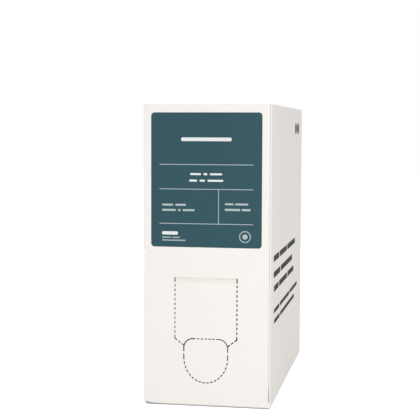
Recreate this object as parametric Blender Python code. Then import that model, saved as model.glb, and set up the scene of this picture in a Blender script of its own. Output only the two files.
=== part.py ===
"""Refill pack for hand soap: a sealed board carton with a tear-out tap door and a front label.

The carton is one folded and glued sheet of board, so it is one solid. Its narrow front faces -Y,
the long sides face -X and +X, and it stands on Z = 0. Sizes are in metres.
"""
import math

import bmesh
import bpy
from mathutils import Vector

# Outside of the carton
WIDTH = 0.086
DEPTH = 0.200
HEIGHT = 0.202
BOARD = 0.0008
FOLD_RADIUS = 0.0009

# Glued corner: the front panel's cut edge stops short of the right side and of the ground, and the
# glue tab that is pressed in under it lies a little behind the panel's face
JOINT_SETBACK = 0.0011
JOINT_RECESS = 0.0003
JOINT_FOOT = 0.0045
TAB_FOLD_RADIUS = 0.0006

# Closures: the outer flaps fold in from the long sides, over the inner flaps of the front and back.
# An inner flap's fold is as deep as the board, and the roll is its height on the panel. The insets
# say how far the outer flaps' cut ends lie behind the front and back.
TOP_INSET = 0.0001
BOTTOM_INSET = 0.0016
FLAP_SEAM = 0.0005
FOLD_SLIT = 0.00012
INNER_FLAP_LENGTH = 0.040
SEAM_DROP = 0.0010
BOTTOM_ROLL = 0.0007
TOP_ROLL = 0.0005

# Front label
LABEL_SIDE_MARGIN = 0.0052
LABEL_HEIGHT = 0.0894
LABEL_TOP_MARGIN = 0.0056
LABEL_CORNER = 0.0023
LABEL_THICKNESS = 0.0002
LABEL_GAP = 0.0003

# Tear-out door: a flap hinged on a crease, with a thumb tab below it
DOOR_WIDTH = 0.0420
DOOR_DROP = 0.04075
CREASE_HEIGHT = 0.0008
CREASE_DEPTH = 0.0004
TAB_WIDTH = 0.0298
TAB_BASE = 0.01585
TAB_FOOT_HEIGHT = 0.0171
TAB_STRAIGHT = 0.0064
TAB_CORNER = 0.0062
CHAMFER_DROP = 0.00465

# Perforation: the cuts pass through the board and stay blind behind it, because the pack is one solid.
# Dash lengths include the cuts' round ends.
CUT_WIDTH = 0.0007
CUT_BEHIND = 0.0012
DASH = 0.00178
COLUMN_BRIDGE = 0.0013
TOP_DASH = 0.00172
TOP_BRIDGE = 0.00086
FIRST_DASH = 0.0029
CORNER_DASH = 0.0022
CHAMFER_DASH = 0.0020
CHAMFER_START = 0.0021
TOP_CUT = 0.0017
SIDE_CUT = 0.0027
SIDE_BRIDGE = 0.00133
SIDE_DROP = 0.00176
FOOT_DASH = 0.00203
FOOT_DASHES = 16

# How finely the curves are drawn
FOLD_STEPS = 4
ROLL_STEPS = 5
CORNER_STEPS = 6
END_STEPS = 3
DASH_STEPS = 1

# Margin by which a cutter passes the surface that it cuts
OVERSHOOT = 0.002

# Places that several shapes share
FRONT_Y = -DEPTH / 2
PANEL_WIDTH = WIDTH - JOINT_SETBACK
PANEL_CENTRE_X = -JOINT_SETBACK / 2
CUT_END = CUT_WIDTH / 2


def clear_scene():
    for item in list(bpy.data.objects):
        bpy.data.objects.remove(item, do_unlink=True)


def board_material(name, colour, roughness):
    material = bpy.data.materials.new(name)
    material.use_nodes = True
    shader = material.node_tree.nodes["Principled BSDF"]
    shader.inputs["Base Color"].default_value = (*colour, 1.0)
    shader.inputs["Roughness"].default_value = roughness
    shader.inputs["Metallic"].default_value = 0.0
    return material


def arc(centre, radius_a, radius_b, start, end, steps):
    """Points of an elliptical arc about centre, from one angle to another, both ends included."""
    points = []
    for step in range(steps + 1):
        angle = start + (end - start) * step / steps
        points.append((centre[0] + radius_a * math.cos(angle), centre[1] + radius_b * math.sin(angle)))
    return points


def rounded_outline(width, height, radius, steps):
    """Outline of a rectangle about the origin with round corners, counter-clockwise."""
    points = []
    corners = ((1, 1, 0), (-1, 1, 90), (-1, -1, 180), (1, -1, 270))
    for side_a, side_b, start in corners:
        centre = (side_a * (width / 2 - radius), side_b * (height / 2 - radius))
        first = math.radians(start)
        points += arc(centre, radius, radius, first, first + math.pi / 2, steps)
    return points


def prism(name, outline, place, direction):
    """Closed prism: outline points go through place() to 3-D and are extruded along direction."""
    mesh = bpy.data.meshes.new(name)
    bm = bmesh.new()
    corners = [bm.verts.new(place(*point)) for point in outline]
    face = bm.faces.new(corners)
    top = bmesh.ops.extrude_face_region(bm, geom=[face])
    moved = [item for item in top["geom"] if isinstance(item, bmesh.types.BMVert)]
    bmesh.ops.translate(bm, verts=moved, vec=Vector(direction))
    bmesh.ops.recalc_face_normals(bm, faces=bm.faces)
    bm.to_mesh(mesh)
    bm.free()
    item = bpy.data.objects.new(name, mesh)
    bpy.context.collection.objects.link(item)
    return item


def as_cutter(item):
    item.hide_render = True
    item.display_type = "WIRE"
    return item


def boolean(target, tool, operation, crossing=False):
    """Boolean modifier; crossing says that the tool's own bodies may run into one another."""
    modifier = target.modifiers.new(tool.name, "BOOLEAN")
    modifier.object = tool
    modifier.operation = operation
    modifier.solver = "EXACT"
    modifier.use_self = crossing


def joined(name, items):
    """One mesh object that holds the meshes of several, which are then removed."""
    bm = bmesh.new()
    for item in items:
        bm.from_mesh(item.data)
        bpy.data.objects.remove(item, do_unlink=True)
    mesh = bpy.data.meshes.new(name)
    bm.to_mesh(mesh)
    bm.free()
    result = bpy.data.objects.new(name, mesh)
    bpy.context.collection.objects.link(result)
    return result


# The sleeve and its closures

def make_sleeve():
    """The four wall panels, as a prism with round vertical folds."""
    outline = rounded_outline(WIDTH, DEPTH, FOLD_RADIUS, FOLD_STEPS)
    return prism("carton", outline, lambda x, y: (x, y, 0.0), (0.0, 0.0, HEIGHT))


def make_wrap():
    """Outline of the side panels with their outer flaps: it rounds the long top and bottom folds."""
    outline = rounded_outline(WIDTH, HEIGHT, FOLD_RADIUS, FOLD_STEPS)
    start = -DEPTH / 2 - OVERSHOOT
    length = DEPTH + 2 * OVERSHOOT
    return prism("fold_guide", outline, lambda x, z: (x, start, z + HEIGHT / 2), (0.0, length, 0.0))


def flap_end_outline(roll, inset):
    """Section of the notch between an outer flap's cut end and the panel that folds in under it.

    The first number runs inward from the panel's face, and the second from the closure's surface.
    """
    fold_start = BOARD + FOLD_SLIT
    fold_end = fold_start + roll
    reach = max(BOARD, inset)
    curve = arc((BOARD, fold_end), -BOARD, -roll, math.pi / 2, 0.0, ROLL_STEPS)
    outside = [(-OVERSHOOT, fold_end), (-OVERSHOOT, -OVERSHOOT), (inset, -OVERSHOOT)]
    if inset < BOARD:
        return [(inset, BOARD), (BOARD, BOARD)] + curve + outside
    return [(reach, fold_start)] + curve + outside


def make_flap_ends():
    """Cutters for the four ends where outer flaps meet the front and back panels."""
    cutters = []
    length = WIDTH + 2 * OVERSHOOT
    start = -WIDTH / 2 - OVERSHOOT
    for side in (-1, 1):
        ends = ((0.0, 1, BOTTOM_ROLL, BOTTOM_INSET), (HEIGHT, -1, TOP_ROLL, TOP_INSET))
        for level, inward, roll, inset in ends:
            def place(depth, rise, side=side, level=level, inward=inward):
                return (start, side * (DEPTH / 2 - depth), level + inward * rise)
            outline = flap_end_outline(roll, inset)
            cutters.append(prism("flap_end", outline, place, (length, 0.0, 0.0)))
    return as_cutter(joined("flap_end_cutter", cutters))


def box(name, low, high):
    outline = [(low[0], low[1]), (high[0], low[1]), (high[0], high[1]), (low[0], high[1])]
    return prism(name, outline, lambda x, y: (x, y, low[2]), (0.0, 0.0, high[2] - low[2]))


def make_seams():
    """Centre seams: one board deep over the inner flaps, and deeper between them."""
    cutters = []
    half = FLAP_SEAM / 2
    for level, inward in ((0.0, 1), (HEIGHT, -1)):
        outside = level - inward * OVERSHOOT
        bottom = level + inward * BOARD
        deeper = level + inward * (BOARD + SEAM_DROP)
        between = DEPTH / 2 - INNER_FLAP_LENGTH
        shallow_z = sorted((outside, bottom))
        deep_z = sorted((outside - inward * OVERSHOOT, deeper))
        end = DEPTH / 2 + OVERSHOOT
        shallow = box("seam", (-half, -end, shallow_z[0]), (half, end, shallow_z[1]))
        deep = box("seam_middle", (-half, -between, deep_z[0]), (half, between, deep_z[1]))
        cutters.append(as_cutter(shallow))
        cutters.append(as_cutter(deep))
    return cutters


def make_joint_step():
    """Cutter for the glued corner: what lies in front of the glue tab and its fold."""
    cut_edge = WIDTH / 2 - JOINT_SETBACK
    surface = FRONT_Y + JOINT_RECESS
    radius = min(TAB_FOLD_RADIUS, JOINT_SETBACK * 0.9)
    centre = (WIDTH / 2 - radius, surface + radius)
    fold = arc(centre, radius, radius, -math.pi / 2, 0.0, FOLD_STEPS)
    outside_x = WIDTH / 2 + OVERSHOOT
    outside_y = FRONT_Y - OVERSHOOT
    outline = [(cut_edge, outside_y), (cut_edge, surface)] + fold
    outline += [(outside_x, fold[-1][1]), (outside_x, outside_y)]
    rise = HEIGHT - JOINT_FOOT + OVERSHOOT
    cutter = prism("joint_step_cutter", outline, lambda x, y: (x, y, JOINT_FOOT), (0.0, 0.0, rise))
    return as_cutter(cutter)


# The tear-out door

def door_places():
    """Places on the front that the door's lines share: X across, Z up."""
    places = {}
    places["foot_centre_z"] = TAB_BASE + TAB_FOOT_HEIGHT
    places["tab_top_z"] = places["foot_centre_z"] + TAB_STRAIGHT + TAB_CORNER
    places["crease_z"] = places["tab_top_z"] + DOOR_DROP
    return places


def point_along(start, end, distance):
    length = math.dist(start, end)
    share = distance / length
    return (start[0] + (end[0] - start[0]) * share, start[1] + (end[1] - start[1]) * share)


def spread_dashes(length, dash, bridge):
    """Start and end of each dash on a run that begins and ends with a bridge of uncut board."""
    count = max(1, round((length - bridge) / (dash + bridge)))
    gap = (length - count * dash) / (count + 1)
    spans = []
    for index in range(count):
        start = gap + index * (dash + gap)
        spans.append((start, start + dash))
    return spans


def straight_run(start, end, dash, bridge):
    """Paths of the dashes between two points."""
    paths = []
    for low, high in spread_dashes(math.dist(start, end), dash, bridge):
        paths.append([point_along(start, end, low + CUT_END), point_along(start, end, high - CUT_END)])
    return paths


def mirrored(paths, centre):
    """Each path, and its mirror image about the upright line through centre."""
    result = list(paths)
    for path in paths:
        result.append([(2 * centre - x, z) for x, z in path])
    return result


def column_paths(places):
    """Left column: a long dash under the crease, a row of dashes, and a chamfer down to the thumb tab."""
    x = PANEL_CENTRE_X - DOOR_WIDTH / 2
    top = places["crease_z"]
    bottom = places["tab_top_z"]
    corner = (x, bottom)
    chamfer_end = (PANEL_CENTRE_X - TAB_WIDTH / 2, bottom - CHAMFER_DROP)
    first_end = (x, top - FIRST_DASH)
    last_start = (x, bottom + CORNER_DASH)
    turn_end = point_along(corner, chamfer_end, CHAMFER_START - CUT_END)
    paths = [[(x, top), (x, first_end[1] + CUT_END)]]
    paths.append([(x, last_start[1] - CUT_END), corner, turn_end])
    paths += straight_run(first_end, last_start, DASH, COLUMN_BRIDGE)
    middle = (CHAMFER_START + math.dist(corner, chamfer_end) - CHAMFER_DASH) / 2
    low = point_along(corner, chamfer_end, middle - CHAMFER_DASH / 2 + CUT_END)
    high = point_along(corner, chamfer_end, middle + CHAMFER_DASH / 2 - CUT_END)
    paths.append([low, high])
    paths.append([point_along(chamfer_end, corner, CHAMFER_DASH - CUT_END), chamfer_end])
    return paths


def tab_side_paths(places):
    """Left of the thumb tab: the through cut round its top corner, and the long dash below it."""
    x = PANEL_CENTRE_X - TAB_WIDTH / 2
    top = places["tab_top_z"]
    centre = (x + TAB_CORNER, top - TAB_CORNER)
    corner = arc(centre, TAB_CORNER, TAB_CORNER, math.pi, math.pi / 2, CORNER_STEPS)
    cut_end = (x + TAB_CORNER + TOP_CUT - CUT_END, top)
    cut_start_z = top - TAB_CORNER - SIDE_CUT
    dash_top = (x, cut_start_z - SIDE_BRIDGE - CUT_END)
    foot_centre = (PANEL_CENTRE_X, places["foot_centre_z"])
    turn = math.pi + (SIDE_DROP - CUT_END) / TAB_FOOT_HEIGHT
    foot = arc(foot_centre, TAB_WIDTH / 2, TAB_FOOT_HEIGHT, math.pi, turn, DASH_STEPS)
    return [[(x, cut_start_z + CUT_END)] + corner + [cut_end], [dash_top] + foot]


def tab_top_paths(places):
    reach = TAB_WIDTH / 2 - TAB_CORNER - TOP_CUT
    start = (PANEL_CENTRE_X - reach, places["tab_top_z"])
    end = (PANEL_CENTRE_X + reach, places["tab_top_z"])
    return straight_run(start, end, TOP_DASH, TOP_BRIDGE)


def tab_foot_paths(places):
    """Dashes round the half ellipse at the foot of the thumb tab, evenly between the two side dashes.

    A dash's length is turned into an angle by the foot's height.
    """
    centre = (PANEL_CENTRE_X, places["foot_centre_z"])
    side_turn = SIDE_DROP / TAB_FOOT_HEIGHT
    dash_turn = FOOT_DASH / TAB_FOOT_HEIGHT
    gap = (math.pi - 2 * side_turn - FOOT_DASHES * dash_turn) / (FOOT_DASHES + 1)
    end = CUT_END / TAB_FOOT_HEIGHT
    paths = []
    for index in range(FOOT_DASHES):
        low = math.pi + side_turn + gap + index * (dash_turn + gap) + end
        high = low + dash_turn - 2 * end
        paths.append(arc(centre, TAB_WIDTH / 2, TAB_FOOT_HEIGHT, low, high, DASH_STEPS))
    return paths


def cut_outline(path, width):
    """Closed outline of a round-ended cut of the given width along a path."""
    points = [Vector(point) for point in path]
    half = width / 2
    left = []
    right = []
    last = len(points) - 1
    for index, point in enumerate(points):
        before = (points[index] - points[index - 1]).normalized() if index > 0 else None
        after = (points[index + 1] - points[index]).normalized() if index < last else None
        first = before or after
        second = after or before
        middle = (first + second).normalized()
        normal = Vector((-middle.y, middle.x))
        reach = half / max(0.5, middle.dot(first))
        left.append(point + normal * reach)
        right.append(point - normal * reach)
    return left, right, points


def round_end(centre, toward, half):
    """Points of the half circle that closes a cut, between its two corners."""
    points = []
    base = math.atan2(toward.y, toward.x)
    for step in range(1, END_STEPS):
        angle = base + math.pi / 2 - math.pi * step / END_STEPS
        points.append(centre + Vector((math.cos(angle), math.sin(angle))) * half)
    return points


def cut_prism(path):
    """Blind cut along a path on the front face."""
    left, right, points = cut_outline(path, CUT_WIDTH)
    forward = (points[-1] - points[-2]).normalized()
    backward = (points[0] - points[1]).normalized()
    outline = left + round_end(points[-1], forward, CUT_END) + right[::-1]
    outline += round_end(points[0], backward, CUT_END)
    start = FRONT_Y - OVERSHOOT
    depth = OVERSHOOT + BOARD + CUT_BEHIND
    return prism("cut", outline, lambda x, z: (x, start, z), (0.0, depth, 0.0))


def make_perforation():
    places = door_places()
    paths = mirrored(column_paths(places) + tab_side_paths(places), PANEL_CENTRE_X)
    paths += tab_top_paths(places)
    paths += tab_foot_paths(places)
    return as_cutter(joined("perforation_cutter", [cut_prism(path) for path in paths]))


def make_crease():
    """Shallow pressed groove along the door's hinge line."""
    level = door_places()["crease_z"]
    half = CREASE_HEIGHT / 2
    curve = arc((0.0, 0.0), CREASE_DEPTH, half, -math.pi / 2, math.pi / 2, FOLD_STEPS)
    outline = [(-OVERSHOOT, -half)] + curve + [(-OVERSHOOT, half)]
    start = PANEL_CENTRE_X - DOOR_WIDTH / 2
    cutter = prism(
        "crease_cutter", outline,
        lambda depth, rise: (start, FRONT_Y + depth, level + rise), (DOOR_WIDTH, 0.0, 0.0))
    return as_cutter(cutter)


def make_carton():
    carton = make_sleeve()
    boolean(carton, as_cutter(make_wrap()), "INTERSECT")
    boolean(carton, make_joint_step(), "DIFFERENCE")
    boolean(carton, make_flap_ends(), "DIFFERENCE")
    for seam in make_seams():
        boolean(carton, seam, "DIFFERENCE")
    boolean(carton, make_crease(), "DIFFERENCE")
    boolean(carton, make_perforation(), "DIFFERENCE", crossing=True)
    carton.data.materials.append(board_material("white_board", (0.88, 0.86, 0.83), 0.7))
    return carton


def make_label():
    """The sticker: a thin plate with round corners, centred on the front panel."""
    label_width = PANEL_WIDTH - 2 * LABEL_SIDE_MARGIN
    outline = rounded_outline(label_width, LABEL_HEIGHT, LABEL_CORNER, CORNER_STEPS)
    middle_z = HEIGHT - LABEL_TOP_MARGIN - LABEL_HEIGHT / 2
    back = FRONT_Y - LABEL_GAP
    label = prism(
        "front_label", outline,
        lambda x, z: (x + PANEL_CENTRE_X, back, z + middle_z), (0.0, -LABEL_THICKNESS, 0.0))
    label.data.materials.append(board_material("label_paper", (0.045, 0.105, 0.122), 0.55))
    return label


def main():
    clear_scene()
    make_carton()
    make_label()


main()
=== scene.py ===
"""Looks of the soap refill pack: white board carton with a tear-out tap door, and its teal label.

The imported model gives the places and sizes. Everything is in metres, with the narrow front facing -Y.
"""
import math

import bmesh
import bpy
from bpy.props import FloatProperty, FloatVectorProperty, IntProperty, PointerProperty
from mathutils import Matrix, Vector


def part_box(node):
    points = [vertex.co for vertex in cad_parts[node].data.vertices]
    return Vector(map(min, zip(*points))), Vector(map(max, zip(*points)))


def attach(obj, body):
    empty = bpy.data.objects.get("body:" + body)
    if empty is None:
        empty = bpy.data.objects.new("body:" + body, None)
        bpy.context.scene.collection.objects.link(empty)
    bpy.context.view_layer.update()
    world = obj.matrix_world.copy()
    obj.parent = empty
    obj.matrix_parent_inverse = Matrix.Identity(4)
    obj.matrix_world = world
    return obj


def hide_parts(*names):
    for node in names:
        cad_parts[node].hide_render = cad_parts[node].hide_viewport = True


bl_info = {
    "name": "Soap refill pack",
    "version": (1, 0, 0),
    "blender": (4, 5, 0),
    "location": "View3D > Sidebar > Refill pack",
    "description": "Builds a board refill carton with a perforated tap door and a printed label",
    "category": "Add Mesh",
}

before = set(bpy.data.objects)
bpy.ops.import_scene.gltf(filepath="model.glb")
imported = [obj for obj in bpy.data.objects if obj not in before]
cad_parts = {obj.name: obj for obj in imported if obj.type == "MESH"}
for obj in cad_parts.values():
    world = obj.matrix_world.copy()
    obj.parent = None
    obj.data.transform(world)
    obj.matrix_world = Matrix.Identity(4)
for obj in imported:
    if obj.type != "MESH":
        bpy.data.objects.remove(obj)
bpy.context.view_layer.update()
CARTON_LOW, CARTON_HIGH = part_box("carton")
LABEL_LOW, LABEL_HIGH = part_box("front_label")

CENTRE = (CARTON_LOW + CARTON_HIGH) / 2
SIZE = CARTON_HIGH - CARTON_LOW

# Margin by which a cutter passes the surface that it cuts
OVERSHOOT = 0.002
CUT_START_Y = CARTON_LOW.y - OVERSHOOT

# How far a vertex may lie from a plane and still count as on it
ON_PLANE = 1e-6

# Segments in each fold, corner and cut, and in the printed bars' corners and circles
FOLD_STEPS = 12
CORNER_STEPS = 14
NOTCH_STEPS = 10
TAB_FOLD_STEPS = 8
DASH_STEPS = 3
DASH_END_STEPS = 6
BAR_STEPS = 5
CIRCLE_STEPS = 48
DOT_STEPS = 32

# Folds flatter than this are shaded round
SHARP_ANGLE = math.radians(28)
# A carton with fewer faces than this has lost its solid to a cutter
LEAST_FACES = 100
# At a sharp turn of its path a cut's side reaches out to half its width over this, and no more
TURN_LIMIT = 0.5

# Where the lifted foot's slope bends, as shares of its length and height
LIFT_BEND = (0.35, 0.3)
# Where the lifted joint's gap bends, as shares of its width and height
JOINT_BEND = (0.8, 0.6)
# Depth of the joint's gap, in thicknesses of the board
JOINT_GAP_BOARDS = 1.5

# Share of the crease colour in the pressed band, and where the band starts to fade and ends
BAND_SHARE = 0.35
BAND_FADE = (0.0024, 0.0042)

# Corner radius of a printed bar, as a share of its lesser side
LABEL_BAR_ROUNDING = 0.35
SIDE_BAR_ROUNDING = 0.3

# The floor lies this far below the carton
FLOOR_DROP = 0.00005
# How far in from the sides the carton's footprint starts, in radii of their bottom folds
FOOTPRINT_SHARE = 0.8
FLOOR_COLOUR = (0.80, 0.80, 0.80)
WHITE = (1.0, 1.0, 1.0)


# Settings that a user would change

def metres(name, description, value):
    return FloatProperty(name=name, description=description, default=value, unit="LENGTH")


def number(name, description, value):
    return FloatProperty(name=name, description=description, default=value)


def degrees(name, description, value):
    return FloatProperty(name=name, description=description, default=math.radians(value), subtype="ANGLE")


def location(name, description, value):
    return FloatVectorProperty(
        name=name, description=description, default=value, size=3, subtype="TRANSLATION")


def tone(name, description, value):
    return FloatVectorProperty(
        name=name, description=description, default=value, size=3, subtype="COLOR")


class CartonSettings(bpy.types.PropertyGroup):
    board: metres("Board", "Thickness of the folded board", 0.00055)
    fold_radius: metres("Fold radius", "Outer radius of the upright and top folds", 0.0007)
    foot_radius: metres("Foot radius", "Outer radius of the right side's bottom fold", 0.0011)
    left_foot_radius: metres("Left foot radius", "Outer radius of the left side's bottom fold", 0.0036)
    joint_setback: metres(
        "Joint setback", "Strip of the glue tab's fold that the front panel leaves bare", 0.0011)
    joint_recess: metres(
        "Joint recess", "How far the pressed glue tab lies behind the front panel", 0.00022)
    joint_foot: metres("Joint foot", "Height above the ground at which the joint's gap starts", 0.0045)
    tab_fold_radius: metres("Tab fold radius", "Radius of the glue tab's own fold", 0.00035)
    joint_gap: metres("Joint gap", "Shadow gap beside the front panel's cut edge", 0.00008)
    joint_lift: metres("Joint lift", "Width of the gap where the cut edge has lifted", 0.00036)
    joint_lift_height: metres("Joint lift height", "How far up the cut edge has lifted", 0.0170)
    top_inset: metres("Top inset", "How far the top flaps' ends lie behind the panels", 0.00003)
    bottom_inset: metres("Bottom inset", "How far the bottom flaps' ends lie behind the panels", 0.0004)
    top_seam: metres("Top seam", "Gap between the two outer flaps of the top", 0.00012)
    bottom_seam: metres("Bottom seam", "Gap between the two outer flaps of the underside", 0.0005)
    bottom_slit: metres(
        "Bottom slit", "Gap between the underside's outer flaps and the inner flaps", 0.00004)
    corner_notch: metres("Corner notch", "Radius of the front panel's two left corners", 0.0009)
    foot_lift: metres("Foot lift", "How far the front panel's foot has lifted at its left end", 0.0017)
    foot_lift_length: metres("Foot lift length", "Distance over which the lifted foot comes down", 0.020)
    top_notch_depth: metres("Top notch depth", "How deep the upper left corner is pressed in", 0.0003)
    bottom_roll: metres(
        "Bottom roll", "Height of the rounded fold at the foot of the front and back", 0.0004)
    flute_pitch: metres("Flute pitch", "Distance between the flutes in the liner", 0.0019)
    board_colour: tone("Board colour", "White liner of the board", (0.905, 0.868, 0.832))
    # Grey core on the cut edges; on the bottom flaps' ends and the lifted foot it is also painted shade
    # under the front panel's foot.
    core_and_shade_colour: tone("Cut edge colour", "Grey core of the board where it is cut", (0.33, 0.33, 0.34))
    # Darker than the board: the pressed board's warm tint and also painted shade in the groove.
    groove_colour: tone("Groove colour", "Inside of the door's pressed crease", (0.84, 0.775, 0.72))
    crease_colour: tone(
        "Crease colour", "Warm tint of the pressed board under the door's crease", (0.80, 0.70, 0.62))


class DoorSettings(bpy.types.PropertyGroup):
    width: metres("Door width", "Between the two perforated columns", 0.0420)
    drop: metres("Door drop", "From the crease down to the top of the thumb tab", 0.04075)
    crease_height: metres("Crease height", "Height of the pressed groove", 0.0008)
    crease_depth: metres("Crease depth", "Depth of the pressed groove", 0.0004)
    tab_width: metres("Tab width", "Width of the thumb tab", 0.0298)
    tab_base: metres("Tab base", "Height of the thumb tab's foot above the ground", 0.01585)
    foot_height: metres("Foot height", "Height of the thumb tab's rounded foot", 0.0171)
    tab_straight: metres("Tab straight", "Straight part of the thumb tab's sides", 0.0064)
    tab_corner: metres("Tab corner", "Radius of the thumb tab's top corners", 0.0062)
    chamfer_drop: metres("Chamfer drop", "Height of the slanted cuts beside the tab", 0.00465)
    cut_width: metres("Cut width", "Width of each cut in the board", 0.00070)
    cut_mouth: metres("Cut mouth", "Width of each cut at the crushed surface of the board", 0.00078)
    cut_lip: metres("Cut lip", "Depth of the crushed edge of each cut", 0.00005)
    cut_depth: metres("Cut depth", "How deep the cuts run", 0.0020)
    dash: metres("Dash", "Length of a dash in the two columns, with its round ends", 0.00178)
    column_bridge: metres("Column bridge", "Uncut board between the dashes of a column", 0.00130)
    first_dash: metres("First dash", "How far the dash at the crease runs down", 0.0029)
    corner_dash: metres("Corner dash", "Column's last dash, down to the chamfer", 0.0022)
    chamfer_start: metres("Chamfer start", "How far the corner dash runs down the chamfer", 0.0021)
    chamfer_dash: metres("Chamfer dash", "Length of the two dashes below it on the chamfer", 0.0020)
    top_dash: metres("Top dash", "Length of the dashes along the tab's top", 0.00184)
    top_bridge: metres("Top bridge", "Uncut board between the dashes of the tab's top", 0.00076)
    top_cut: metres("Top cut", "Open cut past the tab's corner, along its top", 0.00170)
    side_cut: metres("Side cut", "Open cut past the tab's corner, down its side", 0.00270)
    side_bridge: metres("Side bridge", "Uncut board between the open cut and the side dash", 0.00133)
    side_turn: degrees("Side turn", "How far the side dash follows the foot's curve", 5.9)
    foot_pitch: degrees("Foot pitch", "Turn from one dash of the foot to the next", 10.25)
    foot_dash: degrees("Foot dash", "Turn that each dash of the foot takes up", 7.2)
    foot_dashes: IntProperty(
        name="Foot dashes", description="Number of dashes round the foot", default=16, min=2)
    right_widening: number("Right widening", "How many times wider the right column's cuts are", 1.18)
    tab_left_widening: number("Tab left widening", "How many times wider its left cuts are", 1.07)
    tab_right_widening: number("Tab right widening", "How many times wider its right cuts are", 0.92)
    # These inside colours, near black on the right, are the board's core and also painted shade in the
    # cuts; the left column is lightest, the right darkest.
    left_cut_colour: tone("Left cut colour", "Inside of the left column's cuts", (0.27, 0.28, 0.24))
    tab_cut_colour: tone("Tab cut colour", "Inside of the cuts round the thumb tab", (0.17, 0.045, 0.045))
    right_cut_colour: tone("Right cut colour", "Inside of the right column's cuts", (0.060, 0.014, 0.010))


class LabelSettings(bpy.types.PropertyGroup):
    thickness: metres("Thickness", "Thickness of the label paper", 0.00014)
    seat: metres("Seat", "Glue line between the carton and the label", 0.00003)
    corner: metres("Corner", "Radius of the label's corners", 0.0023)
    rule: metres("Rule", "Thickness of the printed rules", 0.00045)
    rule_margin: metres("Rule margin", "From the label's sides to the ends of the rules", 0.0057)
    text_margin: metres("Text margin", "From the label's left to the left lines", 0.0075)
    upper_rule: metres("Upper rule", "Drop from the label's top to the first rule", 0.0344)
    middle_rule: metres("Middle rule", "Drop from the label's top to the second rule", 0.0507)
    lower_rule: metres("Lower rule", "Drop from the label's top to the third rule", 0.0737)
    divider: metres("Divider", "From the label's left to the upright rule", 0.0456)
    badge_radius: metres("Badge radius", "Outer radius of the round mark", 0.0039)
    print_height: metres("Print height", "Thickness of the printed ink", 0.00002)
    core_colour: tone("Core colour", "Cut edge of the label paper", (0.62, 0.64, 0.64))
    label_colour: tone("Label colour", "Teal ground of the label", (0.0298, 0.0851, 0.1045))
    ink_colour: tone("Ink colour", "Pale print on the label", (0.80, 0.82, 0.82))
    rule_colour: tone("Rule colour", "Greyer print of the thin rules", (0.45, 0.53, 0.54))
    side_ink_colour: tone("Side ink colour", "Dark grey print on the right side", (0.088, 0.085, 0.094))


class StageSettings(bpy.types.PropertyGroup):
    camera_place: location("Camera place", "Where the camera stands", (0.13367, -0.83419, 0.18399))
    camera_yaw: degrees("Camera yaw", "Turn of the view away from straight ahead", -10.162)
    camera_pitch: degrees("Camera pitch", "Tilt of the view below level", 3.986)
    camera_roll: degrees("Camera roll", "Roll of the view", 0.202)
    camera_lens: number("Camera lens", "Focal length in millimetres on a 36 mm sensor", 96.807)
    ambient: number("Ambient", "Strength of the even light all round", 0.731)
    softbox_place: location("Softbox place", "Centre of the softbox in front", (0.27, -0.86, 0.11))
    softbox_width: metres("Softbox width", "Width of the softbox", 0.40)
    softbox_height: metres("Softbox height", "Height of the softbox", 0.20)
    softbox_power: number("Softbox power", "Power of the softbox in watts", 2.2)
    back_place: location(
        "Back lamp place", "Centre of the softbox behind, out of sight of the right side",
        (-0.30, 0.86, 0.12))
    back_power: number("Back lamp power", "Power of the softbox behind in watts", 1.6)
    top_place: location("Top lamp place", "Centre of the lamp straight above the pack", (0.0, 0.0, 0.60))
    top_width: metres("Top lamp width", "Width of the lamp above, less than the pack's", 0.06)
    top_length: metres("Top lamp length", "Length of the lamp above, less than the pack's", 0.16)
    top_power: number("Top lamp power", "Power of the lamp above in watts", 0.28)
    floor_glow: number("Floor glow", "What the camera sees added to the floor's own light", 0.50)
    floor_size: metres("Floor size", "Side of the square floor", 8.0)


# Outlines and solids

def arc(centre, radius_a, radius_b, start, end, steps):
    """Points of an elliptical arc about centre, both ends included."""
    points = []
    for step in range(steps + 1):
        angle = start + (end - start) * step / steps
        points.append((centre[0] + radius_a * math.cos(angle), centre[1] + radius_b * math.sin(angle)))
    return points


def rounded_outline(width, height, radii, steps, centre=(0.0, 0.0)):
    """Rectangle with round corners: radii of the upper right, upper left, lower left and lower right."""
    points = []
    corners = ((1, 1, 0), (-1, 1, 90), (-1, -1, 180), (1, -1, 270))
    for (side_a, side_b, start), radius in zip(corners, radii):
        middle = (centre[0] + side_a * (width / 2 - radius), centre[1] + side_b * (height / 2 - radius))
        first = math.radians(start)
        points += arc(middle, radius, radius, first, first + math.pi / 2, steps)
    return points


def circle(centre, radius, steps=CIRCLE_STEPS):
    """Points round a circle, each once."""
    return arc(centre, radius, radius, 0.0, 2 * math.pi, steps)[:-1]


def link(name, data):
    """New object in the scene with the given mesh, light or camera."""
    item = bpy.data.objects.new(name, data)
    bpy.context.scene.collection.objects.link(item)
    return item


def add_prism(bm, outline, place, direction, material=0):
    """Adds a closed prism to bm: the outline goes through place() and is extruded along direction."""
    near = [bm.verts.new(place(*point)) for point in outline]
    far = [bm.verts.new(vert.co + Vector(direction)) for vert in near]
    faces = [bm.faces.new(near), bm.faces.new(far[::-1])] + join_rings(bm, near, far)
    bmesh.ops.recalc_face_normals(bm, faces=faces)
    for face in faces:
        face.material_index = material
    return faces


def join_rings(bm, near, far):
    """Faces between two rings of as many vertices."""
    faces = []
    for index in range(len(near)):
        after = (index + 1) % len(near)
        faces.append(bm.faces.new((near[index], far[index], far[after], near[after])))
    return faces


def mesh_from(name, bm):
    mesh = bpy.data.meshes.new(name)
    bm.to_mesh(mesh)
    bm.free()
    return mesh


def solid_from(name, bm, *materials):
    """Object made of bm's mesh, with its materials in order."""
    item = link(name, mesh_from(name, bm))
    for material in materials:
        item.data.materials.append(material)
    return item


def prism(name, outline, place, direction, material):
    """Object that is one prism of one material."""
    bm = bmesh.new()
    add_prism(bm, outline, place, direction)
    return solid_from(name, bm, material)


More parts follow.
